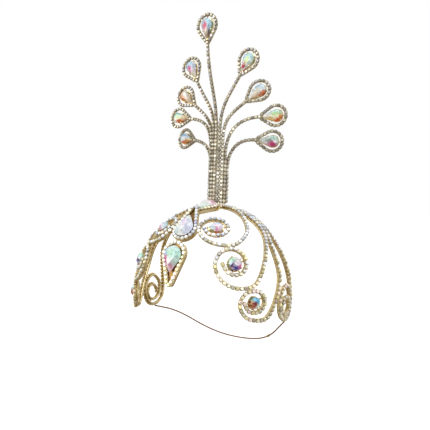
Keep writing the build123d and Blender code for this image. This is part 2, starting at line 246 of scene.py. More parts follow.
# Scroll chains: rhinestone cup chain, foil-backed round crystals in stamped cups of gold-plated brass, laid
# along the outer face of each wire and soldered at every few cups.
CAGE_HALF_WIDTH = 88.5
CAGE_HALF_DEPTH = 93.0
CAGE_HEIGHT = 98.0
CAGE_FULLNESS = 2.12  # 2 is an ellipsoid
FRAME_WIRE_RADIUS = 1.2
CAGE_CENTRE = Vector((0, 0, FRAME_WIRE_RADIUS - CAGE_HEIGHT))
PLATE_HALF_WIDTH = 11.0
STRAND_GAP = 0.6
STRAND_PITCH = 4.7
MIDDLE_SLOT = 1.5
TRUNK_Y = 12.0
CHAIN_PITCH = 4.7
CUP_WIDTH = 4.7
SOLDER = 0.12
CHAIN_SEED = 7
SUBSTEPS = 8  # points between two way points

# Scrolls of the wearer's left side: slot at the crown plate, counted from the front; way points of the arm, as
# degrees of azimuth from the front and of drop from the crown; place of the eye, in the same degrees from the
# last way point; radii at each quarter turn round the eye, from its side at the wearer's left, down and round.
SCROLLS = {
    "a": (0, [(82, 17), (76.5, 25), (69.6, 34.4)], (-38.3, 7.2), [35.0, 20.8, 17.8, 14.5, 13.3, 10.3, 12.0]),
    "b": (
        1,
        [(93, 19), (86, 32), (84.8, 41), (82.5, 47.5), (78.3, 53.8), (73.5, 60)],
        (-29.8, 7.3),
        [36.0, 24.3, 20.4, 16.0, 12.6, 11.2, 12.5],
    ),
    "c": (
        2,
        [(101, 20), (92.5, 33), (91, 41), (88.5, 48), (84.3, 55), (82.5, 62), (82.5, 70), (81.5, 78)],
        (-25.7, 11.5),
        [32.0, 17.4, 16.8, 11.6, 13.8, 9.8, 11.5],
    ),
    "d": (
        3,
        [(112, 20), (102, 33), (97.5, 45), (96.8, 55), (98, 65), (100.5, 75), (102.3, 84)],
        (-12.3, 11.2),
        [20.8, 15.2, 17.2, 23.0, 14.0, 8.8, 12.3, 10.5, 9.0],
    ),
}


def fuller(share):
    """A sine or cosine drawn out to the dome's fullness."""
    return copysign(abs(share) ** (2 / CAGE_FULLNESS), share)


def cage_point(azimuth, drop, lift=0.0):
    """Point of the cage at an azimuth from the front and a drop angle from the crown."""
    turn, out, down = radians(azimuth), fuller(sin(radians(drop))), fuller(cos(radians(drop)))
    across = (CAGE_HALF_WIDTH + lift) * out * sin(turn)
    forward = (CAGE_HALF_DEPTH + lift) * out * cos(turn)
    return CAGE_CENTRE + Vector((across, -forward, (CAGE_HEIGHT + lift) * down))


def onto_cage(point):
    """The point moved along its line from the cage's centre onto the cage."""
    ray = point - CAGE_CENTRE
    out = hypot(ray.x / CAGE_HALF_WIDTH, ray.y / CAGE_HALF_DEPTH)
    down = abs(ray.z / CAGE_HEIGHT)
    return CAGE_CENTRE + ray / (out**CAGE_FULLNESS + down**CAGE_FULLNESS) ** (1 / CAGE_FULLNESS)


def cage_normal(point):
    """Outward direction of the dome at a point near it."""
    ray = point - CAGE_CENTRE
    level = hypot(ray.x / CAGE_HALF_WIDTH, ray.y / CAGE_HALF_DEPTH) ** (CAGE_FULLNESS - 2)
    down = ray.z / CAGE_HEIGHT
    slope = copysign(abs(down) ** (CAGE_FULLNESS - 1), down) / CAGE_HEIGHT
    level_x, level_y = level / CAGE_HALF_WIDTH**2, level / CAGE_HALF_DEPTH**2
    return Vector((level_x * ray.x, level_y * ray.y, slope)).normalized()


def between(values, place):
    """Smooth value at a fractional place in a list of numbers or vectors."""
    last = len(values) - 1
    index = min(floor(place), last - 1)
    share = place - index
    start, end = values[index], values[index + 1]
    slope_start = (end - values[max(index - 1, 0)]) * 0.5
    slope_end = (values[min(index + 2, last)] - start) * 0.5
    return (
        start * (1 - 3 * share**2 + 2 * share**3)
        + slope_start * (share - 2 * share**2 + share**3)
        + end * (3 * share**2 - 2 * share**3)
        + slope_end * (share**3 - share**2)
    )


def eye_axes(eye):
    """Directions out of the dome, towards the wearer's left and up, at the eye of a scroll."""
    out = cage_normal(eye)
    across = Vector((0, 0, 1)).cross(out).normalized()
    return out, across, out.cross(across)


def scroll_eye(arm, eye_from_arm):
    """Middle of a scroll's eye, counted in degrees from the last way point of its arm."""
    return cage_point(arm[-1][0] + eye_from_arm[0], arm[-1][1] + eye_from_arm[1])


def scroll_course(slot, arm, eye_from_arm, winding):
    """Fine points along one scroll wire, on the cage."""
    start_depth = TRUNK_Y + (slot - MIDDLE_SLOT) * STRAND_PITCH
    start = onto_cage(Vector((PLATE_HALF_WIDTH + STRAND_GAP, start_depth, 0)))
    eye = scroll_eye(arm, eye_from_arm)
    _, across, up = eye_axes(eye)
    keys = [start] + [cage_point(*way) for way in arm]
    for step in range(2 * len(winding) - 1):
        radius, angle = between(winding, step / 2), radians(-45.0 * step)
        keys.append(eye + across * (radius * cos(angle)) + up * (radius * sin(angle)))
    return [onto_cage(between(keys, place / SUBSTEPS)) for place in range(SUBSTEPS * (len(keys) - 1) + 1)]


def box_corners(centre, half, lean=0.0):
    """Corners of a small bar, its top shifted along X by lean."""
    return [
        Vector(centre) + Vector((x * half[0] + (lean if z > 0 else 0), y * half[1], z * half[2]))
        for z in (-1, 1)
        for x, y in ((-1, -1), (1, -1), (1, 1), (-1, 1))
    ]


BOX_FACES = [(3, 2, 1, 0), (4, 5, 6, 7), (0, 1, 5, 4), (1, 2, 6, 5), (2, 3, 7, 6), (3, 0, 4, 7)]

# Cup and crystal, for a chain of width 1. The cup's wall is half width and height, from its foot over the rim
# to the floor inside. A claw and a link are small bars: middle, half sizes and lean. The crystal's rows are
# radius, height and turn, from under the girdle up to the table. Each facet has its own painted light,
# brightest on the table and darkest on the foot.
CHATON_SIDES = 8
CUP_WALL = ((0.38, 0.0), (0.475, 0.34), (0.43, 0.34), (0.40, 0.24))
CUP_CORNER = 0.72
CLAW = ((0.51, 0, 0.40), (0.03, 0.05, 0.13), -0.07)
LINK = ((0, 0, 0.06), (0.58, 0.13, 0.06))
CRYSTAL_ROWS = ((0.41, 0.25, 0.0), (0.49, 0.35, 0.0), (0.41, 0.55, 0.5), (0.29, 0.69, 0.0))
# Painted light of each facet: the foot darkest, the table brightest.
FOOT_LIGHT, SIDE_LIGHTS, TABLE_LIGHT = 0.2, [0.3, 0.45, 0.75, 0.55, 0.95], 1.0


def ring_of(radius, height, sides, turn=0.0):
    """Points evenly round a level circle, turned by a share of a side."""
    angles = [2 * pi * (side + turn) / sides for side in range(sides)]
    return [Vector((radius * cos(angle), radius * sin(angle), height)) for angle in angles]


def cup_shape():
    """Stamped square cup with a claw at each corner and half a link to each side."""
    sides, points, faces = CHATON_SIDES, [], []
    for half, height in CUP_WALL:
        cut = CUP_CORNER * half
        corners = ((half, -cut), (half, cut), (cut, half), (-cut, half))
        points += [Vector((x * sign, y * sign, height)) for sign in (1, -1) for x, y in corners]
    faces.append(tuple(reversed(range(sides))))
    for row in range(3):
        for side in range(sides):
            after = (side + 1) % sides
            low, high = row * sides, (row + 1) * sides
            faces.append((low + side, low + after, high + after, high + side))
    faces.append(tuple(range(3 * sides, 4 * sides)))
    for quarter in range(4):
        turn = Matrix.Rotation(pi / 4 + quarter * pi / 2, 3, "Z")
        first = len(points)
        points += [turn @ corner for corner in box_corners(*CLAW)]
        faces += [tuple(first + corner for corner in face) for face in BOX_FACES]
    first = len(points)
    points += box_corners(*LINK)
    faces += [tuple(first + corner for corner in face) for face in BOX_FACES]
    return points, faces


def crystal_shape():
    """Round crystal with a table and two rows of facets, and the painted light of each facet, brightest on the
    table.
    """
    sides, points = CHATON_SIDES, []
    for radius, height, turn in CRYSTAL_ROWS:
        points += ring_of(radius, height, sides, turn)
    faces, lights = [tuple(reversed(range(sides)))], [FOOT_LIGHT]
    for side in range(sides):
        after = (side + 1) % sides
        low, mid, top = sides, 2 * sides, 3 * sides
        faces.append((side, after, sides + after, sides + side))
        faces.append((low + side, low + after, mid + side))
        faces.append((low + after, mid + after, mid + side))
        faces.append((mid + side, mid + after, top + after))
        faces.append((mid + side, top + after, top + side))
        lights += SIDE_LIGHTS
    faces.append(tuple(range(3 * sides, 4 * sides)))
    lights.append(TABLE_LIGHT)
    return points, faces, lights


HUE_DRIFT_SCALE = 22.0  # drifts over about 45 mm
HUE_SPREAD = 7.3  # so that a stone's hue doesn't go with its light
GLASS_IOR = 1.58  # lead crystal


def crystal_material(name, hues, strength, cold_above, warm_below):
    """Foil-backed crystal whose hue drifts, warmer further down, and whose stones and facets differ in painted
    light: a random painted sparkle on each stone and facet, and each facet's painted light from table to foot.

    The foil behind the glass throws light back, so it is part metal, and a faint painted glow makes it shine a
    little even in shade.
    """
    material, tree, surface = new_material(name)
    stone = add_node(tree, "ShaderNodeAttribute", attribute_name="stone_tone").outputs["Fac"]
    facet = add_node(tree, "ShaderNodeAttribute", attribute_name="facet_tone").outputs["Fac"]
    # The painted light of each facet, from table to foot.
    painted_light_of_facet = add_node(tree, "ShaderNodeAttribute", attribute_name="painted_facet_light").outputs["Fac"]
    place = add_node(tree, "ShaderNodeTexCoord").outputs["Object"]
    clouds = {"Vector": place, "Scale": HUE_DRIFT_SCALE, "Detail": 1.0}
    drift = add_node(tree, "ShaderNodeTexNoise", clouds).outputs["Fac"]
    spread = add_node(tree, "ShaderNodeMath", {0: stone, 1: HUE_SPREAD}, operation="MULTIPLY").outputs["Value"]
    own_hue = add_node(tree, "ShaderNodeMath", {0: spread}, operation="FRACT").outputs["Value"]
    level = add_node(tree, "ShaderNodeSeparateXYZ", {0: place}).outputs["Z"]
    heights = {"Value": level, "From Min": cold_above, "From Max": warm_below}
    warmth = add_node(tree, "ShaderNodeMapRange", heights)
    drift = add_node(tree, "ShaderNodeMix", {"Factor": 0.5, "A": drift, "B": warmth.outputs["Result"]})
    hue_place = add_node(tree, "ShaderNodeMix", {"Factor": 0.4, "A": drift.outputs["Result"], "B": own_hue})
    hue = add_node(tree, "ShaderNodeValToRGB", {"Fac": hue_place.outputs["Result"]})
    set_ramp(hue.color_ramp, hues)
    # Painted sparkle: each stone dimmer or brighter at random, and each facet too.
    dim_to_bright = {"Value": stone, "To Min": 0.4 * strength, "To Max": strength}
    of_stone = add_node(tree, "ShaderNodeMapRange", dim_to_bright).outputs["Result"]
    of_facet = add_node(tree, "ShaderNodeMapRange", {"Value": facet, "To Min": 0.55, "To Max": 1.25})
    light = add_node(tree, "ShaderNodeMath", {0: of_stone, 1: of_facet.outputs["Result"]}, operation="MULTIPLY")
    light = add_node(tree, "ShaderNodeMath", {0: light.outputs["Value"], 1: painted_light_of_facet}, operation="MULTIPLY")
    scaled = {0: hue.outputs["Color"], "Scale": light.outputs["Value"]}
    colour = add_node(tree, "ShaderNodeVectorMath", scaled, operation="SCALE")
    crystal = add_node(
        tree,
        "ShaderNodeBsdfPrincipled",
        {
            "Base Color": colour.outputs["Vector"],
            "Metallic": 0.4,
            "Roughness": 0.1,
            "IOR": GLASS_IOR,
            "Coat Weight": 0.3,
            "Coat Roughness": 0.03,
            # Painted glow, so that the crystal shines a little even in shade.
            "Emission Color": colour.outputs["Vector"],
            "Emission Strength": 0.15,
        },
    )
    tree.links.new(crystal.outputs["BSDF"], surface)
    return material


AURORA_HUES = [
    (0.12, "#b9b4ea"),
    (0.22, "#dfeafa"),
    (0.36, "#fafbfd"),
    (0.52, "#f8f4dc"),
    (0.68, "#f0e6ae"),
    (0.84, "#f6dfe2"),
]
frame_crystal = crystal_material(
    "round crystal, foil backed, aurora coat, on the frame", AURORA_HUES, 1.75, -0.02, -0.09
)

# Cup chain: cups and crystals at the chain's pitch along a wire, each crystal with a random tone that sets its
# hue and a random painted sparkle on it and on each of its facets
chain_tree = bpy.data.node_groups.new("cup chain along a wire", "GeometryNodeTree")
face_of = chain_tree.interface
face_of.new_socket("Geometry", in_out="OUTPUT", socket_type="NodeSocketGeometry")
chain_inputs = {
    name: face_of.new_socket(name, in_out="INPUT", socket_type=kind).identifier
    for name, kind in (
        ("Wire", "NodeSocketGeometry"),
        ("Pitch", "NodeSocketFloat"),
        ("Crystal width", "NodeSocketFloat"),
        ("Crystal", "NodeSocketObject"),
        ("Cup", "NodeSocketObject"),
        ("Crystal finish", "NodeSocketMaterial"),
        ("Cup finish", "NodeSocketMaterial"),
        ("Seed", "NodeSocketInt"),
    )
}
given = add_node(chain_tree, "NodeGroupInput").outputs
line = add_node(chain_tree, "GeometryNodeMeshToCurve", {"Mesh": given["Wire"]})
spaced = add_node(chain_tree, "GeometryNodeResampleCurve", {"Curve": line.outputs["Curve"]}, mode="LENGTH")
chain_tree.links.new(given["Pitch"], spaced.inputs["Length"])
outward = add_node(
    chain_tree, "GeometryNodeInputNamedAttribute", {"Name": "outward"}, data_type="FLOAT_VECTOR"
)
along = add_node(chain_tree, "GeometryNodeInputTangent")
stand = add_node(
    chain_tree,
    "FunctionNodeAxesToRotation",
    {0: outward.outputs["Attribute"], 1: along.outputs["Tangent"]},
    primary_axis="Z",
    secondary_axis="X",
)
joined = add_node(chain_tree, "GeometryNodeJoinGeometry")
for part in ("Cup", "Crystal"):
    shape = add_node(chain_tree, "GeometryNodeObjectInfo", {"Object": given[part]})
    placed = add_node(
        chain_tree,
        "GeometryNodeInstanceOnPoints",
        {
            "Points": spaced.outputs["Curve"],
            "Instance": shape.outputs["Geometry"],
            "Rotation": stand.outputs["Rotation"],
            "Scale": given["Crystal width"],
        },
    )
    result = placed.outputs["Instances"]
    if part == "Crystal":
        tone = add_node(chain_tree, "FunctionNodeRandomValue", {"Seed": given["Seed"]}, data_type="FLOAT")
        stored = add_node(
            chain_tree,
            "GeometryNodeStoreNamedAttribute",
            {"Geometry": result, "Name": "stone_tone", "Value": tone.outputs[1]},
            data_type="FLOAT",
            domain="INSTANCE",
        )
        result = stored.outputs["Geometry"]
    real = add_node(chain_tree, "GeometryNodeRealizeInstances", {"Geometry": result})
    result = real.outputs["Geometry"]
    if part == "Crystal":
        tone = add_node(chain_tree, "FunctionNodeRandomValue", {"Seed": given["Seed"]}, data_type="FLOAT")
        stored = add_node(
            chain_tree,
            "GeometryNodeStoreNamedAttribute",
            {"Geometry": result, "Name": "facet_tone", "Value": tone.outputs[1]},
            data_type="FLOAT",
            domain="FACE",
        )
        result = stored.outputs["Geometry"]
    finished = add_node(
        chain_tree, "GeometryNodeSetMaterial", {"Geometry": result, "Material": given[part + " finish"]}
    )
    chain_tree.links.new(finished.outputs["Geometry"], joined.inputs["Geometry"])
add_node(chain_tree, "NodeGroupOutput", {"Geometry": joined.outputs["Geometry"]})

cup_pattern = new_piece("cup_pattern", *cup_shape())
*shape, lights = crystal_shape()
crystal_pattern = new_piece("crystal_pattern", *shape)
crystal_pattern.data.attributes.new("painted_facet_light", "FLOAT", "FACE").data.foreach_set("value", lights)
for pattern in cup_pattern, crystal_pattern:
    pattern.data.transform(Matrix.Scale(1000, 4))
    scene.collection.objects.unlink(pattern)


def cup_chain(name, courses, pitch, width, crystal, cup, seed):
    """Chain of crystals in cups along courses of (point, outward) pairs, each open or closed."""
    points, edges, directions = [], [], []
    for course, closed in courses:
        first = len(points)
        points += [point for point, _ in course]
        directions += [out for _, out in course]
        edges += [(index, index + 1) for index in range(first, len(points) - 1)]
        if closed:
            edges.append((len(points) - 1, first))
    mesh = bpy.data.meshes.new(name)
    mesh.from_pydata([point * 0.001 for point in points], edges, [])
    stored = mesh.attributes.new("outward", "FLOAT_VECTOR", "POINT")
    stored.data.foreach_set("vector", [value for out in directions for value in out])
    chain = bpy.data.objects.new(name, mesh)
    scene.collection.objects.link(chain)
    modifier = chain.modifiers.new("cups", "NODES")
    modifier.node_group = chain_tree
    values = {
        "Pitch": pitch * 0.001,
        "Crystal width": width * 0.001,
        "Crystal": crystal_pattern,
        "Cup": cup_pattern,
        "Crystal finish": crystal,
        "Cup finish": cup,
        "Seed": seed,
    }
    for socket, value in values.items():
        modifier[chain_inputs[socket]] = value
    bpy.context.view_layer.update()
    depsgraph = bpy.context.evaluated_depsgraph_get()
    made = bpy.data.meshes.new_from_object(
        chain.evaluated_get(depsgraph), preserve_all_data_layers=True, depsgraph=depsgraph
    )
    chain.modifiers.clear()
    chain.data = made
    made.name = name
    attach(chain, "root")
    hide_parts(name.removesuffix("_crystals"))
    return chain


def mirrored(vector, side):
    """The vector on the wearer's left, side 1, or in its mirror image on the right, side -1."""
    return Vector((vector.x * side, vector.y, vector.z))


for letter, scroll in SCROLLS.items():
    course = []
    for point in scroll_course(*scroll):
        out = cage_normal(point)
        course.append((point + out * (FRAME_WIRE_RADIUS + SOLDER), out))
    for side, sign in SIDES:
        turned = [(mirrored(point, sign), mirrored(out, sign)) for point, out in course]
        chain = cup_chain(
            f"scroll_chain_{letter}_{side}_crystals",
            [(turned, False)],
            CHAIN_PITCH,
            CUP_WIDTH,
            frame_crystal,
            gold_plate,
            CHAIN_SEED,
        )

# Scroll stones: one foil-backed oval or round crystal in the eye of each scroll, cut with a table and two
# rows of facets, each facet coloured by place with its aurora coat's colours and painted reflections.
STONE_TIP_RADIUS = 1.2
PLATE_SEAT = 0.95
STONE_DEPTH = 2.6
STONE_GIRDLE = 0.6
STONE_CROWN = 3.0
SCROLL_STONE_SIDES = 12
SCROLL_STONE_SEED = 3
TIP_STEPS = 60
ROUND_STEPS = 240
# Painted sparkle: each facet of a cut stone keeps a random share of its colour, between these two.
FACET_SPARKLE = (0.56, 0.94)  # least and most of its colour that a facet throws back

facet_crystal, tree, surface = new_material("cut crystal, foil backed, aurora coat")
# Each facet's colour: the coat's colours and painted reflections, white highlights and dark patches.
coat = add_node(tree, "ShaderNodeAttribute", attribute_name="facet_colour")
cut = add_node(
    tree,
    "ShaderNodeBsdfPrincipled",
    {
        "Base Color": coat.outputs["Color"],
        "Metallic": 0.08,
        "Roughness": 0.06,
        "IOR": GLASS_IOR,
        "Coat Weight": 0.15,
        "Coat Roughness": 0.02,
        # Painted glow, so that the cut stone shines a little even in shade.
        "Emission Color": coat.outputs["Color"],
        "Emission Strength": 0.32,
    },
)
tree.links.new(cut.outputs["BSDF"], surface)


def pear_outline(length, width, tip_radius, count):
    """Even points round a pear from its tip, its round end along +Y: two arcs and their common tangents."""
    big, far, near = width / 2, length - width / 2, tip_radius
    lean = asin((big - tip_radius) / (far - near))
    fine = []
    for step in range(TIP_STEPS + 1):
        angle = -pi / 2 + (pi / 2 - lean) * step / TIP_STEPS
        fine.append(Vector((tip_radius * cos(angle), near + tip_radius * sin(angle), 0)))
    for step in range(ROUND_STEPS + 1):
        angle = -lean + (pi / 2 + lean) * step / ROUND_STEPS
        fine.append(Vector((big * cos(angle), far + big * sin(angle), 0)))
    fine += [Vector((-point.x, point.y, 0)) for point in reversed(fine[1:-1])]
    return evenly_round(fine, count)


def evenly_round(fine, count):
    """Points at even distances on a closed line of points."""
    closed = fine + fine[:1]
    lengths = [0.0]
    for one, other in zip(closed, closed[1:]):
        lengths.append(lengths[-1] + (other - one).length)
    spread, index = [], 0
    for number in range(count):
        target = lengths[-1] * number / count
        while lengths[index + 1] < target:
            index += 1
        share = (target - lengths[index]) / (lengths[index + 1] - lengths[index])
        spread.append(closed[index].lerp(closed[index + 1], share))
    return spread


def cut_stone(name, outline, middle, axes, depth, crown, colours, seed, replaced):
    """Stone of staggered facet rows inside an outline, each facet coloured by the colours that lie near it and
    dimmed at random by a painted sparkle.

    The outline has twice as many points as the stone has facets in a row. axes place the stone: its origin,
    then the directions of local X, Y and Z. Rows are share of the outline, height and shift by half a facet;
    those inside the table are the back facets seen through it. A colour has its place across, from -1 to 1,
    and along the stone, from its tip at 0 to 1.
    """
    sides = len(outline) // 2
    rows = [
        (0.50, -depth, 0),
        (1.00, 0.0, 0),
        (1.00, STONE_GIRDLE, 0),
        (0.82, STONE_GIRDLE + 0.5 * crown, 1),
        (0.58, STONE_GIRDLE + crown, 0),
        (0.30, STONE_GIRDLE + crown, 1),
    ]
    flat, faces = [], []
    for scale, height, shift in rows:
        ring = [outline[2 * side + shift] for side in range(sides)]
        flat += [middle + (point - middle) * scale + Vector((0, 0, height)) for point in ring]
    flat.append(middle + Vector((0, 0, STONE_GIRDLE + crown)))
    faces.append(tuple(reversed(range(sides))))
    for row, ((_, _, shift), (_, _, next_shift)) in enumerate(zip(rows, rows[1:])):
        low, high = row * sides, (row + 1) * sides
        for side in range(sides):
            after = (side + 1) % sides
            if shift == next_shift:
                faces.append((low + side, low + after, high + after, high + side))
            elif next_shift:
                faces.append((low + side, low + after, high + side))
                faces.append((low + after, high + after, high + side))
            else:
                faces.append((low + side, high + after, high + side))
                faces.append((low + side, low + after, high + after))
    last = (len(rows) - 1) * sides
    faces += [(last + side, last + (side + 1) % sides, len(flat) - 1) for side in range(sides)]
    origin, x_axis, y_axis, z_axis = axes
    points = [origin + x_axis * point.x + y_axis * point.y + z_axis * point.z for point in flat]
    stone = new_piece(name, points, faces, facet_crystal)
    half_width = max(point.x for point in outline)
    length = max(point.y for point in outline) - min(point.y for point in outline)
    start = min(point.y for point in outline)
    chance = Random(seed)
    stored = stone.data.attributes.new("facet_colour", "FLOAT_COLOR", "FACE")
    for index, face in enumerate(faces):
        centre = sum((flat[corner] for corner in face), Vector()) / len(face)
        across = centre.x / half_width + chance.uniform(-0.10, 0.10)
        upward = (centre.y - start) / length + chance.uniform(-0.05, 0.05)
        pulls = [(0.02 + (across - x) ** 2 + 4 * (upward - y) ** 2) ** -3 for x, y, _ in colours]
        light = chance.uniform(*FACET_SPARKLE) / sum(pulls)
        tints = [linear(code) for _, _, code in colours]
        shares = [sum(pull * tint[band] for pull, tint in zip(pulls, tints)) for band in range(3)]
        stored.data[index].color = (*[min(share * light, 1.0) for share in shares], 1.0)
    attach(stone, "root")
    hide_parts(replaced)
    return stone


# Length and width of each stone, and its colours, of the coat and painted reflections, as place across, place
# along and hex value
SCROLL_STONES = {
    "a": (
        (16.0, 12.5),
        [
            (-0.5, 0.25, "#b9dbe2"),
            (-0.6, 0.7, "#b4c6dc"),
            (0.0, 0.5, "#e0d8ea"),
            (0.6, 0.52, "#f0a0c4"),
            (0.2, 0.68, "#ece4f0"),
            (0.6, 0.78, "#e6d4e2"),
            (0.55, 0.3, "#d4e6ea"),
            (0.0, 0.85, "#dbe2ee"),
        ],
    ),
    "b": (
        (14.0, 14.0),
        [
            (-0.6, 0.75, "#b2dcc4"),
            (0.3, 0.88, "#eef0ee"),
            (0.8, 0.6, "#d2c6d4"),
            (-0.8, 0.45, "#cfe2e4"),
            (-0.7, 0.38, "#561c70"),
            (-0.7, 0.12, "#d6cad8"),
            (-0.08, 0.18, "#43369a"),
            (0.25, 0.1, "#8a6cc0"),
            (0.0, 0.42, "#f6eef6"),
            (0.65, 0.24, "#e860ac"),
            (0.4, 0.5, "#f0e4ec"),
        ],
    ),
    "c": (
        (12.0, 12.0),
        [
            (-0.9, 0.8, "#c9ac80"),
            (-0.35, 0.87, "#86cdea"),
            (0.1, 0.75, "#58b6e4"),
            (0.65, 0.7, "#8ad6f0"),
            (-1.0, 0.5, "#b08458"),
            (-0.5, 0.5, "#8a2430"),
            (-0.15, 0.52, "#8a2a34"),
            (0.25, 0.33, "#cfe8d4"),
            (0.75, 0.4, "#d8eeea"),
            (-0.6, 0.22, "#d07c66"),
            (-0.1, 0.1, "#e8dccb"),
            (0.5, 0.1, "#eef0e6"),
        ],
    ),
}
for letter, ((length, width), colours) in SCROLL_STONES.items():
    eye = scroll_eye(*SCROLLS[letter][1:3])
    out, across, up = eye_axes(eye)
    lift = out * (PLATE_SEAT + STONE_DEPTH)
    if length > width:
        outline = pear_outline(length, width, STONE_TIP_RADIUS, 2 * SCROLL_STONE_SIDES)
        middle = Vector((0, length - width / 2, 0))
        axes = (eye - across * (length / 2) + lift, across.cross(out), across, out)
    else:
        outline = ring_of(width / 2, 0, 2 * SCROLL_STONE_SIDES)
        middle = Vector((0, 0, 0))
        axes = (eye + lift, across, up, out)
    for side, sign in SIDES:
        turned = [mirrored(vector, sign) for vector in axes]
        stone = cut_stone(
            f"scroll_stone_{letter}_{side}_cut",
            outline,
            middle,
            turned,
            STONE_DEPTH,
            STONE_CROWN,
            colours,
            SCROLL_STONE_SEED,
            f"scroll_stone_{letter}_{side}",
        )
        if sign < 0:
            stone.data.flip_normals()

# Centre borders and stones: the same cup chain round each of the three bands, and in each a large pear
# crystal pressed into its seat. The middle piece stands over the top one, and the drop hangs over the forehead.
BAND_TOP = 2.4
SEAT_GAP = 0.25
BAND_TIP_RADIUS = 2.5
CENTRE_STONE = (29.0, 21.0)
CENTRE_STONE_DEPTH = 3.25
CENTRE_CROWN = 4.6
CENTRE_STONE_SIDES = 16
CENTRE_STONE_SEED = 5
BORDER_SEED = 11
RING_POINTS = 240

# Width of the band; drop angle and lift from the cage of its tip and of its round end; the stone's share of the
# full size and its shift towards the tip; and the stone's colours, its coat's and painted reflections
CENTRE_PIECES = {
    "top": (
        23.0,
        (21.3, 0.0),
        (1.3, 0.0),
        (1.0, 0.0),
        [
            (0.6, 0.12, "#c9e2d4"),
            (0.6, 0.35, "#f2f6f2"),
            (0.6, 0.55, "#ecc4d0"),
            (0.6, 0.8, "#dfb2c2"),
            (0.0, 0.95, "#ead2da"),
            (0.0, 0.5, "#f2e4ea"),
            (-0.6, 0.3, "#d4e4e8"),
            (-0.6, 0.7, "#e4d4e2"),
        ],
    ),
    "middle": (
        25.0,
        (22.0, 6.3),
        (50.2, -2.5),
        (1.0, 0.0),
        [
            (-0.7, 0.4, "#e2e8f4"),
            (0.7, 0.4, "#eef4f6"),
            (0.0, 0.5, "#eadcee"),
            (0.3, 0.62, "#f4f4f0"),
            (-0.6, 0.75, "#d8def2"),
            (0.0, 0.85, "#eef4f4"),
            (0.7, 0.8, "#d6eef0"),
            (0.0, 0.15, "#e2ece8"),
        ],
    ),
    "drop": (
        24.0,
        (80.2, 0.5),
        (54.2, 3.0),
        (0.96, 2.3),
        [
            (-0.7, 0.75, "#a9d4ea"),
            (0.0, 0.92, "#d4ece8"),
            (0.05, 0.68, "#aedfc0"),
            (0.7, 0.7, "#c6eee2"),
            (0.6, 0.45, "#d4f2ea"),
            (-0.85, 0.48, "#c0207e"),
            (-0.6, 0.36, "#d0408e"),
            (0.0, 0.38, "#f6f4f6"),
            (0.45, 0.3, "#e2f0ee"),
            (0.0, 0.12, "#f2ccd6"),
            (0.25, 0.2, "#dc96b0"),
        ],
    ),
}


def pear_frame(tip, round_end, near_normal):
    """Axes of a pear-shaped piece from its tip, its round end and a direction that it roughly faces."""
    along = (round_end - tip).normalized()
    facing = (near_normal - along * near_normal.dot(along)).normalized()
    return tip, along.cross(facing), along, facing


for name, (width, tip_place, end_place, (share, shift), colours) in CENTRE_PIECES.items():
    tip, round_end = cage_point(0, *tip_place), cage_point(0, *end_place)
    length = (round_end - tip).length
    origin, x_axis, y_axis, z_axis = pear_frame(tip, round_end, cage_normal((tip + round_end) / 2))
    border = [
        (origin + x_axis * point.x + y_axis * point.y + z_axis * (BAND_TOP + SOLDER), z_axis)
        for point in pear_outline(length, width, BAND_TIP_RADIUS, RING_POINTS)
    ]
    chain = cup_chain(
        f"{name}_border_crystals",
        [(border, True)],
        CHAIN_PITCH,
        CUP_WIDTH,
        frame_crystal,
        gold_plate,
        BORDER_SEED,
    )
    stone_length, stone_width = CENTRE_STONE[0] * share, CENTRE_STONE[1] * share
    stone_start = length - width / 2 - (stone_length - stone_width / 2) - shift
    outline = pear_outline(stone_length, stone_width, STONE_TIP_RADIUS, 2 * CENTRE_STONE_SIDES)
    middle = Vector((0, stone_length - stone_width / 2, 0))
    seat = origin + y_axis * stone_start + z_axis * (BAND_TOP + SEAT_GAP + CENTRE_STONE_DEPTH)
    cut_stone(
        f"{name}_stone_cut",
        outline,
        middle,
        (seat, x_axis, y_axis, z_axis),
        CENTRE_STONE_DEPTH,
        CENTRE_CROWN,
        colours,
        CENTRE_STONE_SEED,
        f"{name}_stone",
    )

# Plume stems: nine brass wires bound into one trunk, each bent outwards at the top and closed into a
# pear-shaped ring with a seat for a stone a little in front of it.

# Column in the trunk, counted from the front; height where the stem leaves it; neck of the ring; and a point that
# the ring's round end is turned to
STEMS = {
    "centre": (0, 88, (0, -12.5, 194.0), (0, -14.5, 229.5)),
    "left_1": (1, 92, (29.6, 13.7, 159.0), (49.1, 14.7, 189.5)),
    "left_2": (2, 84, (35.4, 17.6, 127.8), (62.3, 24.9, 148.3)),
    "left_3": (3, 66, (48.0, 29.1, 110.4), (83.4, 33.8, 110.5)),
    "left_4": (4, 50, (42.0, 30.1, 83.3), (76.0, 42.5, 79.7)),
    "right_1": (-1, 92, (-29.6, 13.7, 160.7), (-45.6, 15.5, 195.3)),
    "right_2": (-2, 84, (-35.4, 17.6, 132.2), (-67.4, 24.1, 160.2)),
    "right_3": (-3, 70, (-48.0, 29.1, 118.0), (-83.4, 33.8, 124.4)),
    "right_4": (-4, 54, (-42.0, 30.1, 89.5), (-76.0, 42.5, 97.8)),
}
for name in STEMS:
    finish_node(f"plume_stem_{name}", gold_plate)

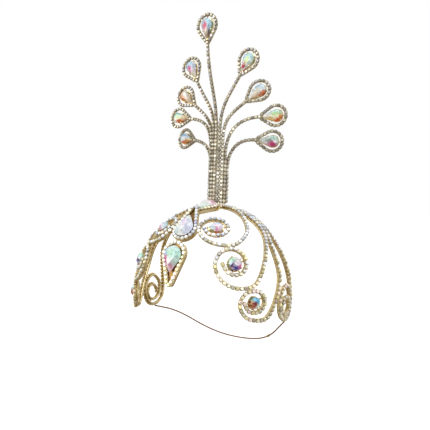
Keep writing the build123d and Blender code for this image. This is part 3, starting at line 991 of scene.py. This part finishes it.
# Plume chains: a thinner cup chain up each stem and round its ring, its crystals smokier than the frame's and
# its cups a greyer, duller gold, so that they look grey beside the polished wire.
TRUNK_LEAN = 0.085  # backwards for each millimetre of height
TRUNK_CHAIN_RADIUS = 13.2
COLUMN_STEP = 19.2  # degrees
TRUNK_CHAIN_FOOT = 7.2
STEM_WIRE_RADIUS = 1.0
STEM_CUP_WIDTH = 4.5
STEM_PITCH = 4.6
RING_LENGTH = 32.0
RING_WIDTH = 24.0
RING_TIP_RADIUS = 2.0
STEM_TENSION = 0.45
STEM_STEPS = 40
NECK_CLEARANCE = 0.55  # of a cup's width, between the last cup and the ring
FOOT_STAGGER = 0.37  # shifts the lowest cup of each column, so that the rows don't line up
RING_CHAIN_SEED = 9
HALF_CHAIN = 2.05
TRUNK_WIRE_RADIUS = TRUNK_CHAIN_RADIUS - (STEM_WIRE_RADIUS + SEAT_GAP + HALF_CHAIN)
SMOKY_HUES = [
    (0.12, "#bdb6c2"),
    (0.24, "#cac8c2"),
    (0.36, "#d0cab0"),
    (0.48, "#c6b8a6"),
    (0.62, "#ece6cc"),
    (0.8, "#f2eee2"),
]
DULL_TONES = [(0.30, "#a89a7e"), (0.50, "#bcae90"), (0.72, "#cfc4a8")]
plume_crystal = crystal_material("round crystal, foil backed, on the plume", SMOKY_HUES, 1.3, 0.15, 0.05)
dull_plate = plated_metal("greyer, duller gold plating", DULL_TONES, 0.38, 0.28)


def trunk_point(column, height, radius):
    """Point of the leaning trunk in one column, at a distance from its axis."""
    angle = radians(column * COLUMN_STEP)
    return Vector((radius * sin(angle), TRUNK_Y + TRUNK_LEAN * height - radius * cos(angle), height))


def ring_axes(neck, towards):
    """Axes of a ring, which faces forward."""
    return pear_frame(Vector(neck), Vector(towards), Vector((0, -1, 0)))


def stem_course(column, leave_height, neck, towards):
    """Points and outward directions of the chain up one stem, from the foot of the trunk to the ring."""
    origin, _, along, face = ring_axes(neck, towards)
    angle = radians(column * COLUMN_STEP)
    radial = Vector((sin(angle), -cos(angle), 0))
    leave = trunk_point(column, leave_height, TRUNK_WIRE_RADIUS)
    rise = (leave - trunk_point(column, TRUNK_CHAIN_FOOT, TRUNK_WIRE_RADIUS)).normalized()
    pull = (origin - leave).length * STEM_TENSION
    handles = [leave, leave + rise * pull, origin - along * pull, origin]
    lift = STEM_WIRE_RADIUS + SOLDER
    foot = TRUNK_CHAIN_FOOT + STEM_PITCH * (0.2 + column * FOOT_STAGGER % 0.4)
    course = [(trunk_point(column, foot, TRUNK_WIRE_RADIUS + lift), radial)]
    for number in range(STEM_STEPS + 1):
        share = number / STEM_STEPS
        rest = 1 - share
        weights = (rest**3, 3 * rest**2 * share, 3 * rest * share**2, share**3)
        point = sum((handle * weight for handle, weight in zip(handles, weights)), Vector())
        steps = [after - before for before, after in zip(handles, handles[1:])]
        onward = (steps[0] * rest**2 + steps[1] * (2 * rest * share) + steps[2] * share**2).normalized()
        turn = share**2 * (3 - 2 * share)
        out = radial * (1 - turn) + face * turn
        out = (out - onward * out.dot(onward)).normalized()
        if (origin - point).length > STEM_CUP_WIDTH * NECK_CLEARANCE:
            course.append((point + out * lift, out))
    return course


rings = []
for number, (name, stem) in enumerate(STEMS.items()):
    origin, x_axis, y_axis, z_axis = ring_axes(stem[2], stem[3])
    ring = [
        (origin + x_axis * point.x + y_axis * point.y + z_axis * (STEM_WIRE_RADIUS + SOLDER), z_axis)
        for point in pear_outline(RING_LENGTH, RING_WIDTH, RING_TIP_RADIUS, RING_POINTS)
    ]
    rings.append((ring, True))
    course = [(stem_course(*stem), False)]
    piece = f"plume_chain_{name}_crystals"
    chain = cup_chain(piece, course, STEM_PITCH, STEM_CUP_WIDTH, plume_crystal, dull_plate, number)
piece = "plume_ring_chain_crystals"
chain = cup_chain(piece, rings, STEM_PITCH, STEM_CUP_WIDTH, plume_crystal, dull_plate, RING_CHAIN_SEED)

# Plume stones: a pear crystal in front of each ring, held by claws, each turned a little another way, and each
# with its own colours painted on its facets, its aurora coat's and painted reflections, white and dark.
PLUME_STONE = (24.0, 14.0)
PLUME_STONE_DEPTH = 2.0
PLUME_STANDOFF = 3.4
PLUME_INSET = 4.3
PLUME_STONE_SIDES = 14
FIRST_PLUME_SEED = 20
# Each plume stone's coat colours and painted reflections, white highlights and dark patches, by place.
PLUME_COLOURS = {
    "centre": [
        (-0.6, 0.85, "#a9d6ee"),
        (0.5, 0.85, "#b9dff0"),
        (-0.15, 0.6, "#d4466f"),
        (-0.8, 0.5, "#d9dde4"),
        (0.7, 0.55, "#b5dcee"),
        (0.0, 0.35, "#efe2d8"),
        (0.0, 0.1, "#cfae8c"),
        (0.6, 0.25, "#5d5650"),
    ],
    "left_1": [
        (-0.7, 0.65, "#a9d6f2"),
        (0.3, 0.9, "#b5e2ee"),
        (0.0, 0.6, "#d9f0a0"),
        (0.7, 0.6, "#dff2ea"),
        (-0.5, 0.4, "#e4f0f4"),
        (0.0, 0.28, "#cf3152"),
        (0.5, 0.35, "#f2f4f0"),
        (0.0, 0.08, "#eadccb"),
    ],
    "left_2": [
        (-0.6, 0.75, "#b9d8ea"),
        (-0.6, 0.4, "#d3e4ee"),
        (0.1, 0.85, "#d4e8f2"),
        (0.0, 0.55, "#f4ecd4"),
        (1.0, 0.7, "#ec7a4c"),
        (1.0, 0.4, "#dc5436"),
        (0.4, 0.62, "#e8e8e0"),
        (0.35, 0.35, "#f6e4cc"),
        (0.0, 0.2, "#f4f2ee"),
    ],
    "left_3": [
        (-0.7, 0.7, "#c4e8dc"),
        (-0.2, 0.65, "#bfe69a"),
        (0.5, 0.95, "#f08a50"),
        (0.95, 0.78, "#e85c30"),
        (0.3, 0.7, "#eef0c8"),
        (0.6, 0.4, "#f0d48c"),
        (-0.6, 0.35, "#d0e4f2"),
        (0.0, 0.4, "#f6f6e2"),
        (0.0, 0.12, "#f0eee8"),
    ],
    "left_4": [
        (-0.6, 0.75, "#bfe2d8"),
        (-0.6, 0.4, "#dcebe6"),
        (0.0, 0.5, "#84908a"),
        (0.1, 0.85, "#e4eeea"),
        (0.4, 0.7, "#c22e70"),
        (0.7, 0.45, "#e59abf"),
        (0.3, 0.35, "#f0f2f0"),
        (0.0, 0.12, "#b9c2bc"),
    ],
    "right_1": [
        (-0.5, 0.85, "#8fd0e6"),
        (0.2, 0.92, "#b4deee"),
        (-0.2, 0.55, "#c83a80"),
        (0.7, 0.65, "#cddcf2"),
        (-0.8, 0.5, "#dfeaf0"),
        (0.4, 0.4, "#e6dce8"),
        (0.0, 0.2, "#efe8cf"),
    ],
    "right_2": [
        (-0.7, 0.65, "#e08a4a"),
        (-0.2, 0.85, "#e0b48c"),
        (0.3, 0.6, "#eceae6"),
        (0.7, 0.5, "#d2c8b4"),
        (0.0, 0.35, "#ecdcc4"),
        (-0.7, 0.4, "#d8a878"),
        (0.2, 0.12, "#c2b298"),
    ],
    "right_3": [
        (0.6, 0.8, "#94d2d2"),
        (0.2, 0.6, "#d8eeb8"),
        (-0.8, 0.5, "#e2703a"),
        (-0.6, 0.8, "#f0eee4"),
        (0.7, 0.45, "#b8dce6"),
        (0.0, 0.3, "#f0d8b0"),
        (0.0, 0.1, "#cdb494"),
    ],
    "right_4": [
        (0.6, 0.75, "#8fbfe2"),
        (0.1, 0.6, "#f0f4f6"),
        (-0.8, 0.55, "#e0702c"),
        (-0.3, 0.8, "#d9e6ee"),
        (0.5, 0.4, "#b9d2e4"),
        (-0.4, 0.3, "#d8a468"),
        (0.0, 0.1, "#d8c4a4"),
    ],
}
for number, (name, stem) in enumerate(STEMS.items()):
    origin, x_axis, y_axis, z_axis = ring_axes(stem[2], stem[3])
    start = RING_LENGTH - PLUME_INSET - PLUME_STONE[0]
    seat = origin + y_axis * start + z_axis * PLUME_STANDOFF
    cut_stone(
        f"plume_stone_{name}_cut",
        pear_outline(*PLUME_STONE, STONE_TIP_RADIUS, 2 * PLUME_STONE_SIDES),
        Vector((0, PLUME_STONE[0] - PLUME_STONE[1] / 2, 0)),
        (seat, x_axis, y_axis, z_axis),
        PLUME_STONE_DEPTH,
        STONE_CROWN,
        PLUME_COLOURS[name],
        FIRST_PLUME_SEED + number,
        f"plume_stone_{name}",
    )

# Elastic cord: rubber core in a brown polyester braid, tied to the outer scroll on each side and passing behind
# the nape, with a crimped metal sleeve on it. The braid is matt, with slanting threads.
CORD_DIAMETER = 1.8
BRAID_SCALE = 320.0  # threads about 1 mm apart, coarser than the real ones so that they show
BRAID_DEPTH = 0.0003
CORD_ROUTE = [
    (86.5, 1.5, -124.6),
    (84.0, 12.0, -128.0),
    (78.0, 27.0, -133.0),
    (67.0, 44.0, -143.0),
    (53.0, 60.0, -157.0),
    (35.0, 74.0, -169.0),
    (13.0, 82.0, -175.0),
    (-13.0, 82.0, -175.0),
    (-35.0, 74.0, -169.0),
    (-53.0, 60.0, -157.0),
    (-67.0, 44.0, -143.0),
    (-78.0, 27.0, -133.0),
    (-84.0, 12.0, -128.0),
    (-86.5, 1.5, -124.6),
]
braid, tree, surface = new_material("elastic cord, braided polyester over rubber")
place = add_node(tree, "ShaderNodeTexCoord").outputs["Object"]
bands = {"Vector": place, "Scale": BRAID_SCALE, "Distortion": 1.5}
threads = add_node(tree, "ShaderNodeTexWave", bands, bands_direction="DIAGONAL")
dyed = add_node(tree, "ShaderNodeValToRGB", {"Fac": threads.outputs["Fac"]})
set_ramp(dyed.color_ramp, [(0.2, "#6a4426"), (0.8, "#a5764c")])
relief = {"Height": threads.outputs["Fac"], "Strength": 0.4, "Distance": BRAID_DEPTH}
raised = add_node(tree, "ShaderNodeBump", relief)
cloth = add_node(
    tree,
    "ShaderNodeBsdfPrincipled",
    {"Base Color": dyed.outputs["Color"], "Roughness": 0.65, "Normal": raised.outputs["Normal"]},
)
tree.links.new(cloth.outputs["BSDF"], surface)
cord_curve = bpy.data.curves.new("elastic_cord_braid", "CURVE")
cord_curve.dimensions = "3D"
cord_curve.bevel_depth = CORD_DIAMETER / 2 * 0.001
cord_curve.bevel_resolution = 4
cord_curve.use_fill_caps = True
spline = cord_curve.splines.new("NURBS")
spline.points.add(len(CORD_ROUTE) - 1)
for control, corner in zip(spline.points, CORD_ROUTE):
    control.co = (*[value * 0.001 for value in corner], 1.0)
spline.order_u = 3
spline.use_endpoint_u = True
spline.resolution_u = 8
cord_curve.materials.append(braid)
elastic = bpy.data.objects.new("elastic_cord_braid", cord_curve)
scene.collection.objects.link(elastic)
finish_node("cord_crimp", gold_plate)
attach(elastic, "root")
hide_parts("elastic_cord")
